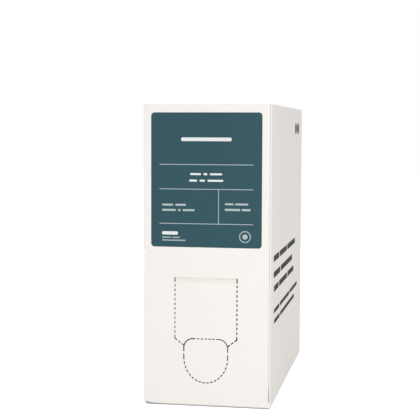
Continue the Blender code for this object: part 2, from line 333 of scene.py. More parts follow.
def prism_to_back(name, outline, length, material):
    """Prism that starts in front of the carton and runs back; its outline is X across and Z up."""
    return prism(name, outline, lambda x, z: (x, CUT_START_Y, z), (0.0, length, 0.0), material)


def keep(piece, node=None):
    """Hands the piece over to the frame, in place of the CAD node if one is named."""
    if node:
        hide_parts(node)
    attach(piece, "root")


def boolean(target, tool, operation, crossing=False):
    """Cuts or clips target by tool; the new faces keep the tool's materials."""
    modifier = target.modifiers.new(tool.name, "BOOLEAN")
    modifier.object = tool
    modifier.operation = operation
    modifier.solver = "EXACT"
    modifier.use_self = crossing
    modifier.material_mode = "TRANSFER"


def apply_modifiers(item):
    """Replaces the object's mesh with what its modifiers make of it."""
    graph = bpy.context.evaluated_depsgraph_get()
    mesh = bpy.data.meshes.new_from_object(item.evaluated_get(graph), depsgraph=graph)
    item.modifiers.clear()
    item.data = mesh


def smooth_folds(item):
    """Rounds the shading of the folds and keeps the panels flat and the cut edges sharp."""
    item.data.shade_smooth()
    item.data.set_sharp_from_angle(angle=SHARP_ANGLE)
    modifier = item.modifiers.new("flat_panels", "WEIGHTED_NORMAL")
    modifier.keep_sharp = True
    modifier.weight = 100
    apply_modifiers(item)


# Shared shader effects

# How much the clouds change the roughness, and their height against the fibres'
ROUGHNESS_SPREAD = 0.12
CLOUD_HEIGHT = 0.6
# How far the flutes wander from straight lines
FLUTE_WANDER = 0.0006
# A panel counts as front or back where its normal points this far along Y
FACES_FRONT = 0.7


def new_group(name, inputs, outputs):
    """Node group with named sockets; inputs are (name, kind, default) and outputs (name, kind)."""
    group = bpy.data.node_groups.new(name, "ShaderNodeTree")
    for label, kind, value in inputs:
        socket = group.interface.new_socket(name=label, in_out="INPUT", socket_type=kind)
        socket.default_value = value
    for label, kind in outputs:
        group.interface.new_socket(name=label, in_out="OUTPUT", socket_type=kind)
    start = group.nodes.new("NodeGroupInput")
    end = group.nodes.new("NodeGroupOutput")
    return group, start, end


def feed(tree, socket, value):
    """Links another node's socket, or sets a number or a colour."""
    if isinstance(value, bpy.types.NodeSocket):
        tree.links.new(value, socket)
    elif isinstance(value, (int, float)):
        socket.default_value = value
    else:
        socket.default_value = (*value, 1.0)


def math_node(tree, operation, first, second=0.5, clamp=False):
    node = tree.nodes.new("ShaderNodeMath")
    node.operation = operation
    node.use_clamp = clamp
    feed(tree, node.inputs[0], first)
    feed(tree, node.inputs[1], second)
    return node.outputs[0]


def multiply(tree, first, second):
    return math_node(tree, "MULTIPLY", first, second)


def add(tree, first, second, clamp=False):
    return math_node(tree, "ADD", first, second, clamp)


def subtract(tree, first, second):
    return math_node(tree, "SUBTRACT", first, second)


def mix_colour(tree, factor, first, second, blend="MIX"):
    node = tree.nodes.new("ShaderNodeMix")
    node.data_type = "RGBA"
    node.blend_type = blend
    feed(tree, node.inputs[0], factor)
    feed(tree, node.inputs[6], first)
    feed(tree, node.inputs[7], second)
    return node.outputs[2]


def new_node(tree, kind, values, output):
    """New node with its sockets fed by name; returns the named output."""
    node = tree.nodes.new(kind)
    for label, value in values.items():
        feed(tree, node.inputs[label], value)
    return node.outputs[output]


def noise(tree, vector, scale, detail, roughness):
    values = {"Vector": vector, "Scale": scale, "Detail": detail, "Roughness": roughness}
    return new_node(tree, "ShaderNodeTexNoise", values, "Fac")


def position(tree):
    return tree.nodes.new("ShaderNodeTexCoord").outputs["Object"]


def split(tree, vector):
    """The vector's X, Y and Z sockets."""
    node = tree.nodes.new("ShaderNodeSeparateXYZ")
    tree.links.new(vector, node.inputs[0])
    return node.outputs


def paper_group():
    """Paper surface: fine fibres, soft mottling and a height for the bump."""
    name = "paper_fibres"
    if name in bpy.data.node_groups:
        return bpy.data.node_groups[name]
    group, start, end = new_group(
        name,
        (("Colour", "NodeSocketColor", (0.9, 0.87, 0.83, 1.0)),
         ("Mottle", "NodeSocketFloat", 0.02),
         ("Fibre", "NodeSocketFloat", 0.02),
         ("Roughness", "NodeSocketFloat", 0.7)),
        (("Colour", "NodeSocketColor"), ("Roughness", "NodeSocketFloat"), ("Height", "NodeSocketFloat")))
    place = position(group)
    fibre = noise(group, place, scale=2600.0, detail=4.0, roughness=0.6)
    cloud = noise(group, place, scale=60.0, detail=3.0, roughness=0.5)
    broad = noise(group, place, scale=14.0, detail=2.0, roughness=0.5)
    fibre_part = multiply(group, subtract(group, fibre, 0.5), start.outputs["Fibre"])
    both_clouds = subtract(group, add(group, cloud, broad), 1.0)
    cloud_part = multiply(group, both_clouds, start.outputs["Mottle"])
    level = add(group, add(group, fibre_part, cloud_part), 1.0)
    grey = group.nodes.new("ShaderNodeCombineColor")
    for socket in grey.inputs[:3]:
        group.links.new(level, socket)
    colour = mix_colour(group, 1.0, start.outputs["Colour"], grey.outputs[0], "MULTIPLY")
    rough_part = multiply(group, subtract(group, cloud, 0.5), ROUGHNESS_SPREAD)
    feed(group, end.inputs["Colour"], colour)
    feed(group, end.inputs["Roughness"], add(group, start.outputs["Roughness"], rough_part, clamp=True))
    feed(group, end.inputs["Height"], add(group, fibre, multiply(group, cloud, CLOUD_HEIGHT)))
    return group


def flute_group():
    """Faint washboard of upright flutes, which run up the panels and across the flaps."""
    name = "flute_washboard"
    if name in bpy.data.node_groups:
        return bpy.data.node_groups[name]
    group, start, end = new_group(
        name, (("Pitch", "NodeSocketFloat", 0.0019),), (("Height", "NodeSocketFloat"),))
    place = split(group, position(group))
    facing = group.nodes.new("ShaderNodeNewGeometry")
    normal = split(group, facing.outputs["True Normal"])
    front = math_node(group, "GREATER_THAN", math_node(group, "ABSOLUTE", normal["Y"]), FACES_FRONT)
    across = multiply(group, place["X"], front)
    along = multiply(group, place["Y"], subtract(group, 1.0, front))
    wander = multiply(
        group, noise(group, position(group), scale=30.0, detail=2.0, roughness=0.55), FLUTE_WANDER)
    distance = add(group, add(group, across, along), wander)
    turns = math_node(group, "DIVIDE", distance, start.outputs["Pitch"])
    wave = math_node(group, "SINE", multiply(group, turns, 2 * math.pi))
    feed(group, end.inputs["Height"], wave)
    return group


def use_group(tree, group, values):
    """Places the node group in a material with its own values."""
    node = tree.nodes.new("ShaderNodeGroup")
    node.node_tree = group
    for label, value in values.items():
        feed(tree, node.inputs[label], value)
    return node


def bump(tree, height, distance, strength, before=None):
    values = {"Distance": distance, "Strength": strength, "Height": height}
    if before:
        values["Normal"] = before
    return new_node(tree, "ShaderNodeBump", values, "Normal")


def new_material(name, gloss=0.35):
    material = bpy.data.materials.new(name)
    material.use_nodes = True
    shader = material.node_tree.nodes["Principled BSDF"]
    shader.inputs["Specular IOR Level"].default_value = gloss
    return material, material.node_tree, shader


def dress_in_paper(tree, shader, colour, mottle, fibre, roughness, depth, strength, before=None):
    """Paper group on the shader, with a bump of the given depth over the bump before it."""
    paper = use_group(
        tree, paper_group(),
        {"Colour": colour, "Mottle": mottle, "Fibre": fibre, "Roughness": roughness})
    feed(tree, shader.inputs["Base Color"], paper.outputs["Colour"])
    feed(tree, shader.inputs["Roughness"], paper.outputs["Roughness"])
    feed(tree, shader.inputs["Normal"], bump(tree, paper.outputs["Height"], depth, strength, before))
    return paper


def paper_material(
        name, colour, mottle, fibre, roughness, depth=0.00002, strength=0.35, gloss=0.3):
    """Plain paper or print: one colour with fibres, mottling and a fine bump."""
    material, tree, shader = new_material(name, gloss)
    dress_in_paper(tree, shader, colour, mottle, fibre, roughness, depth, strength)
    return material


def ink_material(name, colour, mottle=0.03, fibre=0.08, roughness=0.55, gloss=0.15):
    return paper_material(
        name, colour, mottle, fibre, roughness, depth=0.00001, strength=0.2, gloss=gloss)


# Materials of the carton

def ramp_down(tree, value, full, gone):
    """1 where value is at or under full, falling to 0 where it reaches gone."""
    values = {"Value": value, "From Min": full, "From Max": gone, "To Min": 1.0, "To Max": 0.0}
    result = new_node(tree, "ShaderNodeMapRange", values, "Result")
    result.node.interpolation_type = "SMOOTHSTEP"
    return result


def board_material(carton, door, places):
    """White liner with fibres, faint flutes and the warm pressed band under the door's crease."""
    material, tree, shader = new_material("white_liner_board")
    flutes = use_group(tree, flute_group(), {"Pitch": carton.flute_pitch})
    wavy = bump(tree, flutes.outputs["Height"], distance=0.000004, strength=0.6)
    paper = dress_in_paper(
        tree, shader, carton.board_colour, mottle=0.018, fibre=0.035, roughness=0.62,
        depth=0.00002, strength=0.3, before=wavy)
    place = split(tree, position(tree))
    below = subtract(tree, places["crease_z"] + door.crease_height / 2, place["Z"])
    started = math_node(tree, "GREATER_THAN", below, 0.0)
    fading = ramp_down(tree, below, *BAND_FADE)
    aside = math_node(tree, "ABSOLUTE", subtract(tree, place["X"], places["centre_x"]))
    inside = math_node(tree, "LESS_THAN", aside, door.width / 2)
    front = math_node(tree, "LESS_THAN", place["Y"], CARTON_LOW.y + 2 * door.crease_depth)
    band = multiply(tree, multiply(tree, started, fading), multiply(tree, inside, front))
    share = multiply(tree, band, BAND_SHARE)
    tinted = mix_colour(tree, share, paper.outputs["Colour"], carton.crease_colour)
    feed(tree, shader.inputs["Base Color"], tinted)
    return material


def cut_material(door, places):
    """Inside of the perforation: grey in the left column, browner round the tab, darkest on the right;
    these dark colours are the board's core and also painted shade in the cuts.
    """
    material, tree, shader = new_material("perforation_inside")
    aside = subtract(tree, split(tree, position(tree))["X"], places["centre_x"])
    left = ramp_down(tree, aside, -door.width / 2, -door.tab_width / 2)
    before_right = ramp_down(tree, aside, door.tab_width / 2, door.width / 2)
    colour = mix_colour(tree, before_right, door.right_cut_colour, door.tab_cut_colour)
    colour = mix_colour(tree, left, colour, door.left_cut_colour)
    dress_in_paper(
        tree, shader, colour, mottle=0.05, fibre=0.2, roughness=0.9, depth=0.00004, strength=0.5)
    return material


# The carton's shapes

def door_places(carton, door):
    """Places on the front that the door's lines share: X across, Z up."""
    foot_centre_z = CARTON_LOW.z + door.tab_base + door.foot_height
    tab_top_z = foot_centre_z + door.tab_straight + door.tab_corner
    return {
        "centre_x": (CARTON_LOW.x + CARTON_HIGH.x - carton.joint_setback) / 2,
        "foot_centre_z": foot_centre_z,
        "tab_top_z": tab_top_z,
        "crease_z": tab_top_z + door.drop}


def make_sleeve(carton, material):
    """The carton's four panels, seen from above."""
    radii = (carton.fold_radius, carton.fold_radius, carton.fold_radius, carton.tab_fold_radius)
    outline = rounded_outline(SIZE.x, SIZE.y, radii, FOLD_STEPS, (CENTRE.x, CENTRE.y))
    return prism(
        "carton_board", outline, lambda x, y: (x, y, CARTON_LOW.z), (0.0, 0.0, SIZE.z), material)


def make_fold_guide(carton, material):
    """Side panels with their outer flaps, seen from the front: it rounds the long folds."""
    radii = (carton.fold_radius, carton.fold_radius, carton.left_foot_radius, carton.foot_radius)
    outline = rounded_outline(SIZE.x, SIZE.z, radii, FOLD_STEPS, (CENTRE.x, CENTRE.z))
    return prism_to_back("fold_guide", outline, SIZE.y + 2 * OVERSHOOT, material)


def foot_end_outline(carton):
    """Section of the notch between a bottom flap's cut end and the panel's fold: inward, then upward."""
    fold_start = carton.board + carton.bottom_slit
    fold_end = fold_start + carton.bottom_roll
    inset = carton.bottom_inset
    curve = arc(
        (carton.board, fold_end), -carton.board, -carton.bottom_roll, math.pi / 2, 0.0, CORNER_STEPS)
    inside = [(inset, fold_start)]
    if inset < carton.board:
        inside = [(inset, carton.board), (carton.board, carton.board)]
    return inside + curve + [(-OVERSHOOT, fold_end), (-OVERSHOOT, -OVERSHOOT), (inset, -OVERSHOOT)]


def top_end_outline(carton):
    """Section of the shallow step between a top flap's cut end and the panel under it."""
    inset = carton.top_inset
    board = carton.board
    return [(inset, board), (-OVERSHOOT, board), (-OVERSHOOT, -OVERSHOOT), (inset, -OVERSHOOT)]


def make_flap_ends(carton, board, edge):
    """Cutters at the ends of the outer flaps; the bottom flaps' ends take the grey core colour, partly
    the board's core and partly painted shade under the foot, while the top ones stay white.
    """
    bm = bmesh.new()
    start = CARTON_LOW.x - OVERSHOOT
    levels = (
        (CARTON_LOW.z, 1, carton.bottom_inset, foot_end_outline(carton)),
        (CARTON_HIGH.z, -1, carton.top_inset, top_end_outline(carton)))
    for face_y, outward in ((CARTON_LOW.y, -1), (CARTON_HIGH.y, 1)):
        for level, inward, inset, outline in levels:
            faces = add_prism(
                bm, outline,
                lambda depth, rise: (start, face_y - outward * depth, level + inward * rise),
                (SIZE.x + 2 * OVERSHOOT, 0.0, 0.0))
            end_y = face_y - outward * inset
            for face in faces:
                bare = all(abs(vert.co.y - end_y) < ON_PLANE for vert in face.verts)
                # Only the bottom ends take the grey: the board's core, and also painted shade under the
                # foot.
                face.material_index = 1 if bare and inward > 0 else 0
    return solid_from("flap_end_cutter", bm, board, edge)


def make_seams(carton, edge):
    """Seam between the outer flaps, on the top and on the underside."""
    cutters = []
    seams = (
        (CARTON_LOW.z, 1, carton.bottom_seam),
        (CARTON_HIGH.z, -1, carton.top_seam))
    for level, inward, gap in seams:
        low, high = sorted((level - inward * OVERSHOOT, level + inward * carton.board))
        left = CENTRE.x - gap / 2
        right = CENTRE.x + gap / 2
        outline = [(left, low), (right, low), (right, high), (left, high)]
        cutters.append(prism_to_back("seam_cutter", outline, SIZE.y + 2 * OVERSHOOT, edge))
    return cutters


def make_corner_notches(carton, board, edge):
    """Cutters that round the front panel's left corners; at the foot its edge has lifted a little."""
    bm = bmesh.new()
    radius = carton.corner_notch
    # Only the foot's notch takes the grey core colour, which there is also painted shade under the lifted
    # foot; the top notch stays white.
    corners = (
        (CARTON_LOW.z, 1, carton.bottom_inset, 1, carton.foot_lift, carton.foot_lift_length),
        (CARTON_HIGH.z, -1, carton.top_notch_depth, 0, 0.0, radius))
    for level, inward, depth, material, lift, length in corners:
        curve = arc((radius, lift + radius), radius, radius, 1.5 * math.pi, math.pi, NOTCH_STEPS)
        slope = []
        if lift:
            bend = (length * LIFT_BEND[0], carton.board + (lift - carton.board) * LIFT_BEND[1])
            slope = [(length, carton.board), bend]
        outside = [(-OVERSHOOT, lift + radius), (-OVERSHOOT, -OVERSHOOT), (length, -OVERSHOOT)]
        outline = slope + curve + outside
        add_prism(
            bm, outline,
            lambda across, rise: (CARTON_LOW.x + across, CUT_START_Y, level + inward * rise),
            (0.0, OVERSHOOT + depth, 0.0), material)
    return solid_from("corner_notch_cutter", bm, board, edge)


def make_joint_step(carton, board, edge):
    """Cutter for the glued corner: what lies in front of the glue tab and its fold."""
    cut_edge = CARTON_HIGH.x - carton.joint_setback
    surface = CARTON_LOW.y + carton.joint_recess
    radius = carton.tab_fold_radius
    centre = (CARTON_HIGH.x - radius, surface + radius)
    fold = arc(centre, radius, radius, -math.pi / 2, 0.0, TAB_FOLD_STEPS)
    outside_x = CARTON_HIGH.x + OVERSHOOT
    outline = [(cut_edge, CUT_START_Y), (cut_edge, surface)] + fold
    outline += [(outside_x, fold[-1][1]), (outside_x, CUT_START_Y)]
    bottom = CARTON_LOW.z + carton.joint_foot
    rise = CARTON_HIGH.z - bottom + OVERSHOOT
    bm = bmesh.new()
    faces = add_prism(bm, outline, lambda x, y: (x, y, bottom), (0.0, 0.0, rise))
    for face in faces:
        if all(abs(vert.co.x - cut_edge) < ON_PLANE for vert in face.verts):
            face.material_index = 1
    return solid_from("joint_step_cutter", bm, board, edge)


def make_joint_gap(carton, inside):
    """Shadow gap beside the front panel's cut edge, wider where the edge has lifted at its foot."""
    cut_edge = CARTON_HIGH.x - carton.joint_setback
    bottom = CARTON_LOW.z + carton.joint_foot
    lift_top = CARTON_LOW.z + carton.joint_lift_height
    top = CARTON_HIGH.z + OVERSHOOT
    under_edge = cut_edge - carton.joint_gap / 4
    outline = [
        (under_edge, bottom),
        (cut_edge + carton.joint_lift, bottom),
        (cut_edge + carton.joint_lift * JOINT_BEND[0], bottom + (lift_top - bottom) * JOINT_BEND[1]),
        (cut_edge + carton.joint_gap, lift_top),
        (cut_edge + carton.joint_gap, top),
        (under_edge, top)]
    # The gap's walls take the near-black inside colour of the right column's cuts: painted shadow in the
    # gap.
    return prism_to_back(
        "joint_gap_cutter", outline, OVERSHOOT + JOINT_GAP_BOARDS * carton.board, inside)


def point_along(start, end, distance):
    """Point at the distance from start on the line to end."""
    share = distance / math.dist(start, end)
    return (start[0] + (end[0] - start[0]) * share, start[1] + (end[1] - start[1]) * share)


def dash_run(start, end, dash, bridge, half):
    """Dashes that fill a straight run evenly, with a bridge of uncut board at both ends."""
    length = math.dist(start, end)
    count = max(1, round((length - bridge) / (dash + bridge)))
    gap = (length - count * dash) / (count + 1)
    paths = []
    for index in range(count):
        low = gap + index * (dash + gap)
        paths.append([point_along(start, end, low + half), point_along(start, end, low + dash - half)])
    return paths


def mirror_image(paths, centre):
    """The same paths on the other side of the door's middle."""
    return [[(2 * centre - x, z) for x, z in path] for path in paths]


def column_paths(door, places, half):
    """Left column, and its chamfer down to the thumb tab."""
    x = places["centre_x"] - door.width / 2
    top = places["crease_z"]
    bottom = places["tab_top_z"]
    corner = (x, bottom)
    chamfer_end = (places["centre_x"] - door.tab_width / 2, bottom - door.chamfer_drop)
    first_end = (x, top - door.first_dash)
    last_start = (x, bottom + door.corner_dash)
    last_dash = point_along(chamfer_end, corner, door.chamfer_dash)
    middle = (door.chamfer_start + math.dist(corner, last_dash)) / 2
    low = point_along(corner, chamfer_end, middle - door.chamfer_dash / 2 + half)
    high = point_along(corner, chamfer_end, middle + door.chamfer_dash / 2 - half)
    corner_end = point_along(corner, chamfer_end, door.chamfer_start - half)
    paths = [
        [(x, top), (x, first_end[1] + half)],
        [(x, last_start[1] - half), corner, corner_end],
        [low, high],
        [point_along(chamfer_end, corner, door.chamfer_dash - half), chamfer_end]]
    return paths + dash_run(first_end, last_start, door.dash, door.column_bridge, half)


def tab_side_paths(door, places, half):
    """Open cut round the tab's top left corner, and the long dash below it."""
    x = places["centre_x"] - door.tab_width / 2
    top = places["tab_top_z"]
    centre = (x + door.tab_corner, top - door.tab_corner)
    corner = arc(centre, door.tab_corner, door.tab_corner, math.pi, math.pi / 2, CORNER_STEPS)
    cut_end = (x + door.tab_corner + door.top_cut - half, top)
    cut_start_z = top - door.tab_corner - door.side_cut
    dash_top = (x, cut_start_z - door.side_bridge - half)
    foot_centre = (places["centre_x"], places["foot_centre_z"])
    turn = math.pi + door.side_turn - half / door.foot_height
    foot = arc(foot_centre, door.tab_width / 2, door.foot_height, math.pi, turn, DASH_STEPS)
    return [[(x, cut_start_z + half)] + corner + [cut_end], [dash_top] + foot]


def tab_top_paths(door, places, half):
    """Dashes along the straight top of the thumb tab."""
    reach = door.tab_width / 2 - door.tab_corner - door.top_cut
    start = (places["centre_x"] - reach, places["tab_top_z"])
    end = (places["centre_x"] + reach, places["tab_top_z"])
    return dash_run(start, end, door.top_dash, door.top_bridge, half)


def foot_paths(door, places, half):
    """Dashes round the half ellipse at the foot of the thumb tab."""
    centre = (places["centre_x"], places["foot_centre_z"])
    first = 1.5 * math.pi - door.foot_pitch * (door.foot_dashes - 1) / 2
    reach = door.foot_dash / 2 - half / door.foot_height
    paths = []
    for index in range(door.foot_dashes):
        middle = first + index * door.foot_pitch
        paths.append(arc(
            centre, door.tab_width / 2, door.foot_height, middle - reach, middle + reach, DASH_STEPS))
    return paths


def cut_outline(path, width):
    """Closed outline of a round-ended cut of the given width along a path."""
    points = [Vector(point) for point in path]
    half = width / 2
    left = []
    right = []
    for index, point in enumerate(points):
        before = (point - points[index - 1]).normalized() if index > 0 else None
        after = (points[index + 1] - point).normalized() if index < len(points) - 1 else None
        first = before or after
        second = after or before
        middle = (first + second).normalized()
        normal = Vector((-middle.y, middle.x))
        reach = half / max(TURN_LIMIT, middle.dot(first))
        left.append(point + normal * reach)
        right.append(point - normal * reach)
    forward = (points[-1] - points[-2]).normalized()
    backward = (points[0] - points[1]).normalized()
    far_end = round_end(points[-1], forward, half)
    near_end = round_end(points[0], backward, half)
    return left + far_end + right[::-1] + near_end


def round_end(centre, toward, half):
    """Points of a cut's half-round end, without the two that its sides already have."""
    base = math.atan2(toward.y, toward.x)
    points = []
    for step in range(1, DASH_END_STEPS):
        angle = base + math.pi / 2 - math.pi * step / DASH_END_STEPS
        points.append(centre + Vector((math.cos(angle), math.sin(angle))) * half)
    return points


def add_cut(bm, path, door, widening=1.0):
    """Blind cut along a path on the front, with a crushed edge that widens at the surface."""
    front = CARTON_LOW.y
    mouth = door.cut_mouth * widening
    inner = door.cut_width * widening
    sections = (
        (front - OVERSHOOT, mouth), (front, mouth),
        (front + door.cut_lip, inner), (front + door.cut_depth, inner))
    rings = []
    for level, width in sections:
        rings.append([bm.verts.new((point.x, level, point.y)) for point in cut_outline(path, width)])
    faces = [bm.faces.new(rings[0]), bm.faces.new(rings[-1][::-1])]
    for near, far in zip(rings, rings[1:]):
        faces += join_rings(bm, near, far)
    for face in (faces[1], *faces[-len(rings[0]):]):
        face.material_index = 1
    bmesh.ops.recalc_face_normals(bm, faces=faces)


def make_perforation(door, places, board, inside):
    """All the door's cuts; the right half mirrors the left, with its own widths."""
    half = door.cut_mouth / 2
    left_column = column_paths(door, places, half)
    right_column = mirror_image(left_column, places["centre_x"])
    left_side = tab_side_paths(door, places, half)
    right_side = mirror_image(left_side, places["centre_x"])
    groups = (
        (left_column + tab_top_paths(door, places, half) + foot_paths(door, places, half), 1.0),
        (right_column, door.right_widening),
        (left_side, door.tab_left_widening),
        (right_side, door.tab_right_widening))
    bm = bmesh.new()
    for paths, widening in groups:
        for path in paths:
            add_cut(bm, path, door, widening)
    return solid_from("perforation_cutter", bm, board, inside)


def make_crease(door, places, pressed):
    """Pressed groove along the top of the door."""
    half = door.crease_height / 2
    curve = arc((0.0, 0.0), door.crease_depth, half, -math.pi / 2, math.pi / 2, FOLD_STEPS)
    outline = [(-OVERSHOOT, -half)] + curve + [(-OVERSHOOT, half)]
    start = places["centre_x"] - door.width / 2
    level = places["crease_z"]
    return prism(
        "crease_cutter", outline,
        lambda depth, rise: (start, CARTON_LOW.y + depth, level + rise), (door.width, 0.0, 0.0), pressed)


class REFILL_OT_carton(bpy.types.Operator):
    """Build the folded board carton with its glued corner, flaps and perforated door"""

    bl_idname = "refill.carton"
    bl_label = "Carton"

    def execute(self, context):
        carton = context.scene.refill_carton
        door = context.scene.refill_door
        places = door_places(carton, door)
        board = board_material(carton, door, places)
        # Grey core of the cut board; on the bottom flaps' ends and the lifted foot it is also painted
        # shade.
        edge = paper_material(
            "board_cut_edge", carton.core_and_shade_colour, mottle=0.1, fibre=0.3, roughness=0.85,
            depth=0.00006, strength=0.6)
        inside = cut_material(door, places)
        # Darker than the board in the groove: warm tint of the pressed board and also painted shade.
        pressed = paper_material(
            "pressed_crease", carton.groove_colour, mottle=0.03, fibre=0.05, roughness=0.7)
        body = make_sleeve(carton, board)
        guide = make_fold_guide(carton, board)
        perforation = make_perforation(door, places, board, inside)
        plain_cutters = [
            make_joint_step(carton, board, edge),
            make_joint_gap(carton, inside),
            make_flap_ends(carton, board, edge),
            make_corner_notches(carton, board, edge),
            *make_seams(carton, edge),
            make_crease(door, places, pressed)]
        boolean(body, guide, "INTERSECT")
        for cutter in plain_cutters:
            boolean(body, cutter, "DIFFERENCE")
        boolean(body, perforation, "DIFFERENCE", crossing=True)
        apply_modifiers(body)
        for cutter in (guide, *plain_cutters, perforation):
            bpy.data.objects.remove(cutter, do_unlink=True)
        if len(body.data.polygons) < LEAST_FACES:
            raise RuntimeError("the carton's cuts removed its solid")
        smooth_folds(body)
        keep(body, "carton")
        return {"FINISHED"}


# The label and its print

LABEL_WIDTH = LABEL_HIGH.x - LABEL_LOW.x

# Bars in place of the label's words: drop below the top, bar height, words and the gap between them
BOLD_CENTRED_LINES = (
    (0.0177, 0.0024, (0.0338,), 0.0),
    (0.0407, 0.0013, (0.0072, 0.0026, 0.0083), 0.0017),
    (0.0450, 0.0013, (0.0053, 0.0036, 0.0105), 0.0017))
BOLD_LEFT_LINES = ((0.0801, 0.0022, (0.0107,), 0.0),)
FINE_LEFT_LINES = (
    (0.0612, 0.0013, (0.0075, 0.0071), 0.0015),
    (0.0647, 0.0013, (0.0093, 0.0017, 0.0080), 0.0015),
    (0.0830, 0.0007, (0.0060, 0.0050), 0.0010),
    (0.0849, 0.0007, (0.0159,), 0.0))
FINE_RIGHT_LINES = (
    (0.0604, 0.0012, (0.0060, 0.0086), 0.0010),
    (0.0641, 0.0014, (0.0104, 0.0058), 0.0010))
# From the upright rule to the right lines
RIGHT_MARGIN = 0.0042

# Round mark: drop below the label's top, distance from its left, ring width and dot radius
BADGE_PLACE = (0.0819, 0.0634)
BADGE_RING = 0.0006
BADGE_DOT = 0.0017


def label_place(drop, across):
    """Point on the label's face, by its distance below the top and from the left edge."""
    return LABEL_LOW.x + across, LABEL_HIGH.z - drop


def label_face_y(label):
    """Y of the label's printed face."""
    return CARTON_LOW.y - label.seat - label.thickness


class REFILL_OT_label(bpy.types.Operator):
    """Build the teal label as a thin sheet with round corners"""

    bl_idname = "refill.label"
    bl_label = "Label"

    def execute(self, context):
        label = context.scene.refill_label
        ground = paper_material(
            "label_teal_paper", label.label_colour, mottle=0.05, fibre=0.10, roughness=0.55,
            depth=0.000012, strength=0.25, gloss=0.15)
        core = paper_material(
            "label_paper_edge", label.core_colour, mottle=0.02, fibre=0.1, roughness=0.8)
        centre = ((LABEL_LOW.x + LABEL_HIGH.x) / 2, (LABEL_LOW.z + LABEL_HIGH.z) / 2)
        height = LABEL_HIGH.z - LABEL_LOW.z
        outline = rounded_outline(LABEL_WIDTH, height, (label.corner,) * 4, CORNER_STEPS, centre)
        back = CARTON_LOW.y - label.seat
        bm = bmesh.new()
        faces = add_prism(bm, outline, lambda x, z: (x, back, z), (0.0, -label.thickness, 0.0))
        for face in faces:
            if abs(face.normal.y) < 0.5:
                face.material_index = 1
        sheet = solid_from("label_sheet", bm, ground, core)
        smooth_folds(sheet)
        keep(sheet, "front_label")
        return {"FINISHED"}


def bar_outline(centre, width, height, rounding):
    """Outline of a printed bar; its corner radius is a share of its lesser side."""
    radius = min(width, height) * rounding
    return rounded_outline(width, height, (radius,) * 4, BAR_STEPS, centre)


def print_on_label(bm, label, outline):
    face_y = label_face_y(label)
    add_prism(bm, outline, lambda x, z: (x, face_y, z), (0.0, -label.print_height, 0.0))


def add_bar(bm, label, drop, across, width, height):
    """Printed bar on the label, by the drop and distance across of its middle."""
    outline = bar_outline(label_place(drop, across), width, height, LABEL_BAR_ROUNDING)
    print_on_label(bm, label, outline)


def add_lines(bm, label, lines, left=None):
    """Rows of bars, each as long as its word, from the left distance given or centred."""
    for drop, height, words, gap in lines:
        across = left
        if left is None:
            across = (LABEL_WIDTH - sum(words) - gap * (len(words) - 1)) / 2
        for word in words:
            add_bar(bm, label, drop, across + word / 2, word, height)
            across += word + gap


class REFILL_OT_label_print(bpy.types.Operator):
    """Build the label's rules, plain bars in place of words, and the round mark"""

    bl_idname = "refill.label_print"
    bl_label = "Label print"

    def execute(self, context):
        label = context.scene.refill_label
        ink = ink_material("label_pale_ink", label.ink_colour)
        rule_ink = ink_material("label_rule_ink", label.rule_colour)
        makers = (
            ("label_rules", self.add_rules, rule_ink),
            ("label_bold_bars", self.add_bold_bars, ink),
            ("label_fine_bars", self.add_fine_bars, rule_ink),
            ("label_round_mark", self.add_badge, rule_ink))
        for name, maker, material in makers:
            bm = bmesh.new()
            maker(bm, label)
            keep(solid_from(name, bm, material))
        return {"FINISHED"}

    def add_rules(self, bm, label):
        for drop in (label.upper_rule, label.middle_rule, label.lower_rule):
            add_bar(bm, label, drop, LABEL_WIDTH / 2, LABEL_WIDTH - 2 * label.rule_margin, label.rule)
        drop = (label.middle_rule + label.lower_rule) / 2
        height = label.lower_rule - label.middle_rule - label.rule
        add_bar(bm, label, drop, label.divider, label.rule, height)

    def add_bold_bars(self, bm, label):
        add_lines(bm, label, BOLD_CENTRED_LINES)
        add_lines(bm, label, BOLD_LEFT_LINES, label.text_margin)

    def add_fine_bars(self, bm, label):
        add_lines(bm, label, FINE_LEFT_LINES, label.text_margin)
        add_lines(bm, label, FINE_RIGHT_LINES, label.divider + RIGHT_MARGIN)

    def add_badge(self, bm, label):
        centre = label_place(*BADGE_PLACE)
        add_ring(bm, label, centre, label.badge_radius, label.badge_radius - BADGE_RING)
        print_on_label(bm, label, circle(centre, BADGE_DOT, DOT_STEPS))


def add_ring(bm, label, centre, outer, inner):
    """Flat printed ring as a closed thin solid."""
    back = label_face_y(label)
    front = back - label.print_height
    rings = []
    for radius, level in ((outer, back), (outer, front), (inner, front), (inner, back)):
        rings.append([bm.verts.new((x, level, z)) for x, z in circle(centre, radius)])
    faces = []
    for near, far in zip(rings, rings[1:] + rings[:1]):
        faces += join_rings(bm, near, far)
    bmesh.ops.recalc_face_normals(bm, faces=faces)


# Print on the right side

SIDE_LINES = (
    # height above the ground, distance of the left end from the front, bar height, words
    (0.0986, 0.015, 0.0041, (0.031, 0.044, 0.055)),
    (0.0876, 0.015, 0.0041, (0.038, 0.075)),
    (0.0780, 0.017, 0.0041, (0.026, 0.050, 0.042)),
    (0.0626, 0.018, 0.0030, (0.031, 0.060, 0.053)),
    (0.0554, 0.019, 0.0030, (0.032, 0.093)))
SIDE_WORD_GAP = 0.0035

# Three plain dots where the photo has a mark: height of the centres, their distances from the front
# and the radius
SIDE_DOT_HEIGHT = 0.1864
SIDE_DOT_PLACES = (0.1515, 0.1620, 0.1725)
SIDE_DOT_RADIUS = 0.0044


